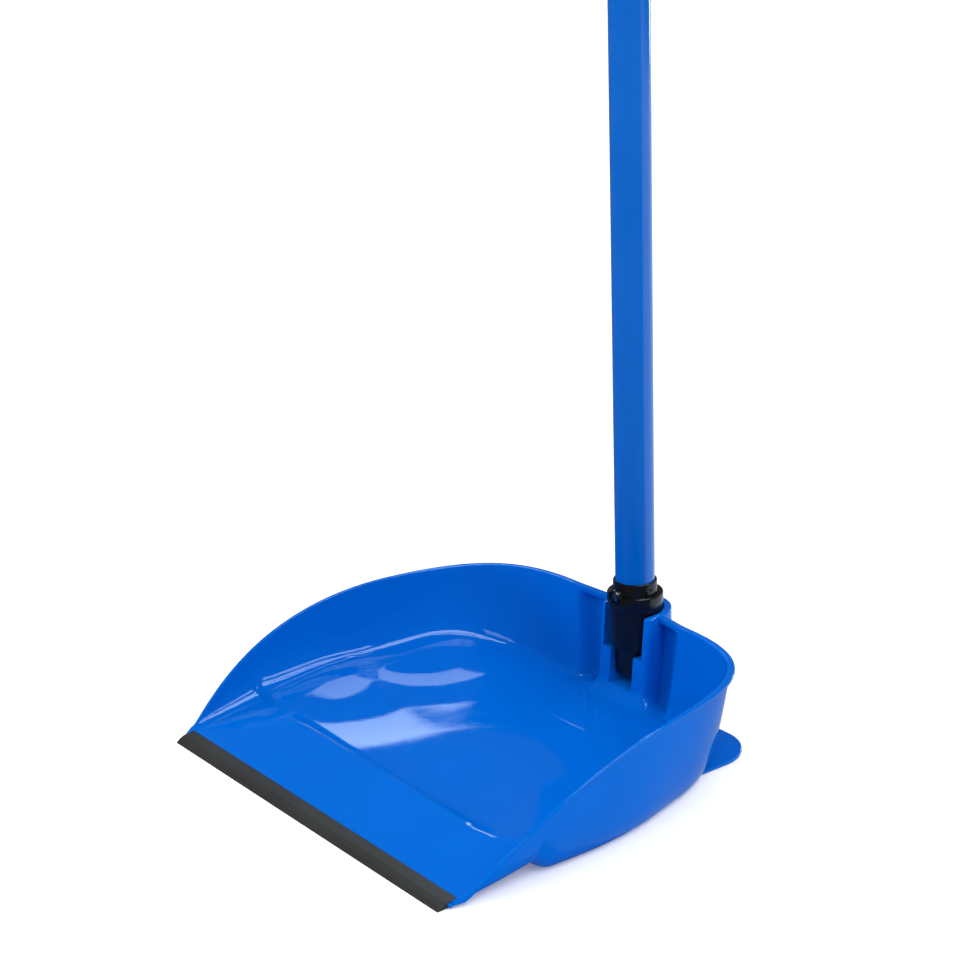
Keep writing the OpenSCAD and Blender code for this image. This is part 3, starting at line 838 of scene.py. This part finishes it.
class DUSTPAN_OT_connector(Operator):
    """Model the connector: its collar, round body and hinged tongue"""

    bl_idname = "dustpan.connector"
    bl_label = "Connector"

    # Half section up the body, over the collar and down the bore, as distance from the radius
    # of each and height, in millimetres
    FOOT, BORE, BORE_FLOOR = 32.75, 12.36, 45.0
    BODY_LINE = ((-1.0, FOOT), (-0.3, 33.05), (0.0, 33.75), (0.0, 54.3))
    COLLAR_LINE = ((-0.2, 54.8), (0.0, 55.2), (0.0, 63.0), (-0.26, 63.64), (-0.9, COLLAR_TOP))
    BORE_LINE = ((0.5, COLLAR_TOP), (0.0, 63.4), (0.0, BORE_FLOOR))
    # Rib down the front, notch for the ferrule's screw boss, and tongue around the hinge
    RIB_HALF, RIB_PROUD, RIB_FOOT, RIB_BACK, RIB_TOP = 2.6, 0.25, 35.75, -10.0, 58.0
    NOTCH, NOTCH_BACK, NOTCH_FRONT, NOTCH_TOP = 4.45, 5.0, 30.0, 80.0
    TONGUE_HALF, TONGUE_ROUND, TONGUE_TOP = 8.9, 8.0, 34.0

    def execute(self, context):
        sizes = context.scene.dustpan_sizes
        collar, body = sizes.collar_diameter / MM / 2, sizes.body_diameter / MM / 2
        profile = [(0.0, self.FOOT)]
        for radius, line in ((body, self.BODY_LINE), (collar, self.COLLAR_LINE), (self.BORE, self.BORE_LINE)):
            profile += [(radius + out, height) for out, height in line]
        profile.append((0.0, self.BORE_FLOOR))
        shell = turned("connector_body", profile, 128)
        tongue = self.tongue()
        rib = block(
            "rib", (-self.RIB_HALF, -body - self.RIB_PROUD, self.RIB_FOOT),
            (self.RIB_HALF, self.RIB_BACK, self.RIB_TOP),
        )
        round_edges(rib, 0.5, 2, 50)
        notch = rod("notch", self.NOTCH, self.NOTCH_BACK, self.NOTCH_FRONT, 48, SCREW_Z)
        mouth = block(
            "notch_mouth", (-self.NOTCH, -self.NOTCH_FRONT, SCREW_Z),
            (self.NOTCH, -self.NOTCH_BACK, self.NOTCH_TOP),
        )
        add(shell, rib)
        cut(shell, notch, mouth)
        clean(shell)
        round_edges(shell, 0.25, 2, 50)
        smooth(shell, 32)
        smooth(tongue, 32)
        joined(shell, tongue)
        finished(shell, HANDLE_BODY, finish_material("fitting_plastic"), "connector")
        return {"FINISHED"}

    def tongue(self):
        """A bar with a rounded foot around the hinge."""
        half, radius, top = self.TONGUE_HALF, self.TONGUE_ROUND, self.TONGUE_TOP
        outline = [(-half, y, z) for y, z in arc((0, HINGE_Z), radius, 180, 360, 24)]
        outline += [(-half, radius, top), (-half, -radius, top)]
        bar = prism("tongue", outline, (2 * half, 0, 0))
        round_edges(bar, 0.7, 3, 40)
        return bar


class DUSTPAN_OT_ferrule(Operator):
    """Model the ferrule around the tube's foot, with its screw boss"""

    bl_idname = "dustpan.ferrule"
    bl_label = "Ferrule"

    # Half section with the shelf under the tube's foot, as distance from the tube's radius and
    # height, in millimetres
    SLEEVE = (
        (-1.5, 45.2), (1.0, 45.2), (1.3, 45.5), (1.3, 70.3), (1.1, 70.8), (0.7, 71.0),
        (0.3, 71.0), (FIT_GAP, 70.6), (FIT_GAP, 47.2), (-1.5, 47.2),
    )
    # Boss as radius and distance ahead of the axis, and the well that the screw's head sits in
    BOSS = ((0.0, 11.6), (4.2, 11.6), (4.2, 15.8), (4.05, 16.16), (3.7, 16.3), (0.0, 16.3))
    WELL, WELL_BACK, WELL_FRONT = 3.1, 14.5, 30.0
    # Two lugs at the sides, above the collar
    LUG_AT, LUG_HALF, LUG_FRONT, LUG_BACK, LUG_TOP = 12.0, 1.3, -3.0, 1.6, 67.4

    def execute(self, context):
        tube = context.scene.dustpan_sizes.tube_diameter / MM / 2
        sleeve = turned("ferrule_sleeve", [(tube + out, height) for out, height in self.SLEEVE], 128)
        boss = turned("screw_boss", self.BOSS, 64, "Y", SCREW_Z)
        cut(boss, rod("screw_well", self.WELL, self.WELL_BACK, self.WELL_FRONT, 48, SCREW_Z))
        clean(boss)
        round_edges(boss, 0.25, 2, 60)
        smooth(sleeve, 32)
        smooth(boss, 32)
        joined(sleeve, boss, *(self.lug(side * self.LUG_AT) for side in (-1, 1)))
        finished(sleeve, HANDLE_BODY, finish_material("ferrule_plastic"), "ferrule")
        return {"FINISHED"}

    def lug(self, x):
        low = (x - self.LUG_HALF, self.LUG_FRONT, COLLAR_TOP)
        lug = block("lug", low, (x + self.LUG_HALF, self.LUG_BACK, self.LUG_TOP))
        round_edges(lug, 0.5, 2, 40)
        smooth(lug, 32)
        return lug


class DUSTPAN_OT_screw_and_pin(Operator):
    """Model the fixing screw and the hinge pin"""

    bl_idname = "dustpan.screw_and_pin"
    bl_label = "Screw and pin"

    # Screw as radius and distance ahead of the axis, with the dome of its head and its cross slot
    SCREW = ((0.0, 8.0), (1.4, 8.0), (1.4, 14.5), (2.6, 14.5), (2.7, 14.7))
    DOME, DOME_FROM, DOME_HIGH = 2.7, 14.95, 1.05
    SLOT_LONG, SLOT_HALF, SLOT_FRONT, SLOT_BACK = 1.7, 0.4, -19.5, -15.2
    # Pin as radius and distance across
    PIN = ((0.0, -16.35), (2.48, -16.35), (2.98, -15.85), (2.98, 15.85), (2.48, 16.35), (0.0, 16.35))

    def execute(self, context):
        metal = finish_material("screw_steel")
        finished(self.screw(), HANDLE_BODY, metal, "fixing_screw")
        pin = turned("hinge_pin_bar", self.PIN, 64, "X", HINGE_Z)
        smooth(pin, 35)
        finished(pin, HANDLE_BODY, metal, "hinge_pin")
        return {"FINISHED"}

    def screw(self):
        profile = list(self.SCREW)
        for angle in range(0, 91, 15):
            turn = math.radians(angle)
            profile.append((self.DOME * math.cos(turn), self.DOME_FROM + self.DOME_HIGH * math.sin(turn)))
        head = turned("fixing_screw_head", profile, 48, "Y", SCREW_Z)
        for wide, tall in ((self.SLOT_HALF, self.SLOT_LONG), (self.SLOT_LONG, self.SLOT_HALF)):
            low = (-wide, self.SLOT_FRONT, SCREW_Z - tall)
            cut(head, block("cross_slot", low, (wide, self.SLOT_BACK, SCREW_Z + tall)))
        clean(head)
        round_edges(head, 0.08, 2, 50)
        smooth(head, 35)
        return head


class DUSTPAN_OT_handle_tube(Operator):
    """Model the coated handle tube"""

    bl_idname = "dustpan.handle_tube"
    bl_label = "Handle tube"

    # Foot, wall and rounded ends, in millimetres, and the lengths that the tube is divided into
    FOOT, WALL, EDGE, PARTS = 47.3, 0.8, 0.2, 12

    def execute(self, context):
        sizes = context.scene.dustpan_sizes
        outer, top = sizes.tube_diameter / MM / 2, sizes.tube_top / MM
        low, high = self.FOOT + self.EDGE, top - self.EDGE
        profile = [(outer - self.WALL, self.FOOT), (outer - self.EDGE, self.FOOT)]
        profile += [(outer, mix(low, high, i / self.PARTS)) for i in range(self.PARTS + 1)]
        profile += [(outer - self.EDGE, top), (outer - self.WALL, top)]
        tube = turned("tube", profile, 128)
        smooth(tube, 35)
        finished(tube, HANDLE_BODY, finish_material("tube_coating"), "handle_tube")
        return {"FINISHED"}


class DUSTPAN_OT_end_cap(Operator):
    """Model the end cap with its hanging tab"""

    bl_idname = "dustpan.end_cap"
    bl_label = "End cap"

    # Sleeve as distance from the tube's radius and height over the tube's top, in millimetres
    SLEEVE = ((FIT_GAP, 0.05), (FIT_GAP, -26.0), (1.1, -26.0), (1.6, -25.5))
    # Grooves around the sleeve, as depth and height
    GROOVE, GROOVES_AT = ((0.0, -0.9), (-0.45, -0.45), (-0.45, 0.45), (0.0, 0.9)), (-20.0, -14.0, -8.0)
    # Shoulder above the tube, and hanging tab
    SHOULDER_FROM, SHOULDER, NECK = 0.8, 9.8, 5.5
    TAB_WALL, TAB_HALF, TAB_FOOT, HOLE_REACH = 4.5, 4.5, 3.0, 20.0

    def execute(self, context):
        sizes = context.scene.dustpan_sizes
        base, hole = sizes.tube_top / MM, sizes.hanging_hole / MM / 2
        tab = hole + self.TAB_WALL
        centre = sizes.cap_top / MM - tab
        sleeve = turned("end_cap_sleeve", self.profile(sizes.tube_diameter / MM / 2, base), 96)
        outline = [(-tab, base + self.TAB_FOOT)] + arc((0, centre), tab, 180, 0, 32)
        outline += [(tab, base + self.TAB_FOOT)]
        loop = prism("hanging_tab", [(x, self.TAB_HALF, z) for x, z in outline], (0, -2 * self.TAB_HALF, 0))
        add(sleeve, loop)
        cut(sleeve, rod("hanging_hole", hole, -self.HOLE_REACH, self.HOLE_REACH, 64, centre))
        clean(sleeve)
        round_edges(sleeve, 0.8, 3, 50)
        smooth(sleeve, 32)
        finished(sleeve, HANDLE_BODY, finish_material("cap_plastic"), "end_cap")
        return {"FINISHED"}

    def profile(self, tube, base):
        """Half section from the seat on the tube down the inside, and up the grooved outside."""
        profile = [(0.0, base + self.SLEEVE[0][1])]
        profile += [(tube + out, base + up) for out, up in self.SLEEVE]
        outer = profile[-1][0]
        for at in self.GROOVES_AT:
            profile += [(outer + out, base + at + up) for out, up in self.GROOVE]
        for angle in range(0, 91, 10):
            turn = math.radians(angle)
            up = self.SHOULDER_FROM + self.SHOULDER * math.sin(turn)
            profile.append((mix(self.NECK, outer, math.cos(turn)), base + up))
        return profile + [(0.0, profile[-1][1])]


class DUSTPAN_OT_stage(Operator):
    """Set the pale floor, the soft lights and the camera"""

    bl_idname = "dustpan.stage"
    bl_label = "Stage"

    # Floor, world and a wide soft light from above
    FLOOR_SIZE, SKY_HEIGHT, SKY_ANGLE, SKY_ENERGY = 160.0, 3.0, 150, 2.95
    WHITE, PANE_TINT, PANES_AWAY = (1.0, 1.0, 1.0), (0.72, 0.9, 1.0), 2.5
    PAPER = {
        "Roughness": 0.9, "Specular IOR Level": 0.1,
        "Emission Color": (*WHITE, 1), "Emission Strength": 0.15,
    }
    WORLD = {"Color": (*WHITE, 1), "Strength": 0.1}
    # Fills light the matt colours: degrees left of the back and up, distance, size, watts
    FILLS = {
        "fill_front": (-135, 30, 3.0, 1.8, 1.8, 5.0),
        "fill_right": (-95, 50, 3.2, 1.8, 1.8, 36.0),
        "fill_left": (134, 12, 3.0, 1.2, 0.8, 36.0),
    }
    # Panes only show in glossy faces: degrees left and up, size, watts a square metre.
    # The last two stand below the floor, which glossy faces don't show.
    PANES = (
        (53.7, 31.0, 0.2, 0.34, 26.0),
        (48.0, 50.0, 0.3, 0.36, 26.0),
        (-60.0, 68.0, 1.5, 0.8, 75.0),
        (0.0, 58.0, 0.9, 0.4, 75.0),
        (-130.0, 45.0, 0.7, 0.45, 30.0),
        (-66.0, 47.0, 0.8, 0.36, 60.0),
        (8.0, 6.0, 0.25, 0.5, 60.0),
        (-14.0, -14.0, 6.4, 1.2, 4.2),
        (-14.0, -40.0, 6.4, 1.2, 1.3),
    )
    # Camera: angles in degrees, place from the handle axis, and focal length and width in pixels
    VIEW_TURN, VIEW_DOWN, VIEW_ROLL = 52.9108, 19.268, 1.93137
    VIEW_FROM = (0.86108, -0.75239, 0.52663)
    FOCAL_PX, PHOTO_PX, SENSOR, CLIP_END = 2212.21, 972, 36.0, 100.0

    def execute(self, context):
        scene = context.scene
        self.floor(scene.dustpan_colours.floor)
        self.sky(scene)
        for name, values in self.FILLS.items():
            self.softbox(name, *values, mirrored=False)
        for k, (left, up, wide, tall, glow) in enumerate(self.PANES, 1):
            power = glow * wide * tall
            self.softbox(f"pane_{k}", left, up, self.PANES_AWAY, wide, tall, power, mirrored=True)
        self.camera(scene)
        scene.view_settings.view_transform = "Standard"
        scene.view_settings.look = "None"
        return {"FINISHED"}

    def floor(self, colour):
        deselect()
        bpy.ops.mesh.primitive_plane_add(size=self.FLOOR_SIZE, location=(0, 0, 0))
        floor = named("studio_floor")
        material = bpy.data.materials.new("studio_paper")
        material.use_nodes = True
        shader = material.node_tree.nodes["Principled BSDF"]
        set_inputs(shader, {"Base Color": (*colour, 1), **self.PAPER})
        floor.data.materials.append(material)
        floor.visible_glossy = False

    def sky(self, scene):
        """A dim world, and a wide soft light from above for the matt colours."""
        world = scene.world or bpy.data.worlds.new("studio")
        scene.world = world
        world.use_nodes = True
        set_inputs(world.node_tree.nodes["Background"], self.WORLD)
        deselect()
        bpy.ops.object.light_add(type="SUN", location=(0, 0, self.SKY_HEIGHT))
        sky = bpy.context.object
        sky.name = "sky_light"
        sky.data.angle = math.radians(self.SKY_ANGLE)
        sky.data.energy = self.SKY_ENERGY
        sky.visible_glossy = False

    def softbox(self, name, left, up, away, wide, tall, power, mirrored):
        """A rectangular light facing the pan, at angles left of the back and up from the floor.

        A mirrored one only shines on glossy faces, and any other only lights the matt colours."""
        left, up = math.radians(left), math.radians(up)
        towards = Vector((-math.sin(left) * math.cos(up), math.cos(left) * math.cos(up), math.sin(up)))
        deselect()
        bpy.ops.object.light_add(type="AREA", location=towards * away)
        light = bpy.context.object
        light.name = name
        light.rotation_euler = (-towards).to_track_quat("-Z", "Y").to_euler()
        light.data.shape = "RECTANGLE"
        light.data.size = wide
        light.data.size_y = tall
        light.data.energy = power
        light.data.color = self.PANE_TINT if mirrored else self.WHITE
        light.visible_glossy = mirrored
        light.visible_diffuse = not mirrored

    def camera(self, scene):
        """The photograph's view, from the front right and above, with a slight roll."""
        turn, down, roll = (math.radians(a) for a in (self.VIEW_TURN, self.VIEW_DOWN, self.VIEW_ROLL))
        ahead = Vector((-math.sin(turn) * math.cos(down), math.cos(turn) * math.cos(down), -math.sin(down)))
        right = Vector((math.cos(turn), math.sin(turn), 0))
        below = ahead.cross(right)
        x_axis = right * math.cos(roll) + below * math.sin(roll)
        y_axis = right * math.sin(roll) - below * math.cos(roll)
        deselect()
        bpy.ops.object.camera_add()
        camera = bpy.context.object
        camera.name = "photo_camera"
        camera.data.sensor_width = self.SENSOR
        camera.data.lens = self.FOCAL_PX * self.SENSOR / self.PHOTO_PX
        camera.data.clip_end = self.CLIP_END
        x, y, z = self.VIEW_FROM
        place = Vector((x, y + AXIS_Y, z))
        facing = Matrix((x_axis, y_axis, -ahead)).transposed()
        camera.matrix_world = Matrix.Translation(place) @ facing.to_4x4()
        scene.camera = camera


class DUSTPAN_PT_pieces(Panel):
    """Lists the dustpan's pieces"""

    bl_idname = "DUSTPAN_PT_pieces"
    bl_label = "Lobby Dustpan"
    bl_space_type = "VIEW_3D"
    bl_region_type = "UI"
    bl_category = "Dustpan"

    def draw(self, context):
        layout = self.layout
        for group in (context.scene.dustpan_sizes, context.scene.dustpan_colours):
            box = layout.box()
            for key in group.bl_rna.properties.keys():
                if key not in {"rna_type", "name"}:
                    box.prop(group, key)
        for piece in PIECES:
            layout.operator(piece.bl_idname)


PIECES = (
    DUSTPAN_OT_pan,
    DUSTPAN_OT_rubber_lip,
    DUSTPAN_OT_connector,
    DUSTPAN_OT_ferrule,
    DUSTPAN_OT_screw_and_pin,
    DUSTPAN_OT_handle_tube,
    DUSTPAN_OT_end_cap,
    DUSTPAN_OT_stage,
)
CLASSES = (DustpanSizes, DustpanColours, *PIECES, DUSTPAN_PT_pieces)


def register():
    for item in CLASSES:
        bpy.utils.register_class(item)
    bpy.types.Scene.dustpan_sizes = PointerProperty(type=DustpanSizes)
    bpy.types.Scene.dustpan_colours = PointerProperty(type=DustpanColours)


def unregister():
    del bpy.types.Scene.dustpan_colours
    del bpy.types.Scene.dustpan_sizes
    for item in reversed(CLASSES):
        bpy.utils.unregister_class(item)


def main():
    register()
    bpy.ops.dustpan.pan()
    bpy.ops.dustpan.rubber_lip()
    bpy.ops.dustpan.connector()
    bpy.ops.dustpan.ferrule()
    bpy.ops.dustpan.screw_and_pin()
    bpy.ops.dustpan.handle_tube()
    bpy.ops.dustpan.end_cap()
    bpy.ops.dustpan.stage()


if __name__ == "__main__":
    main()
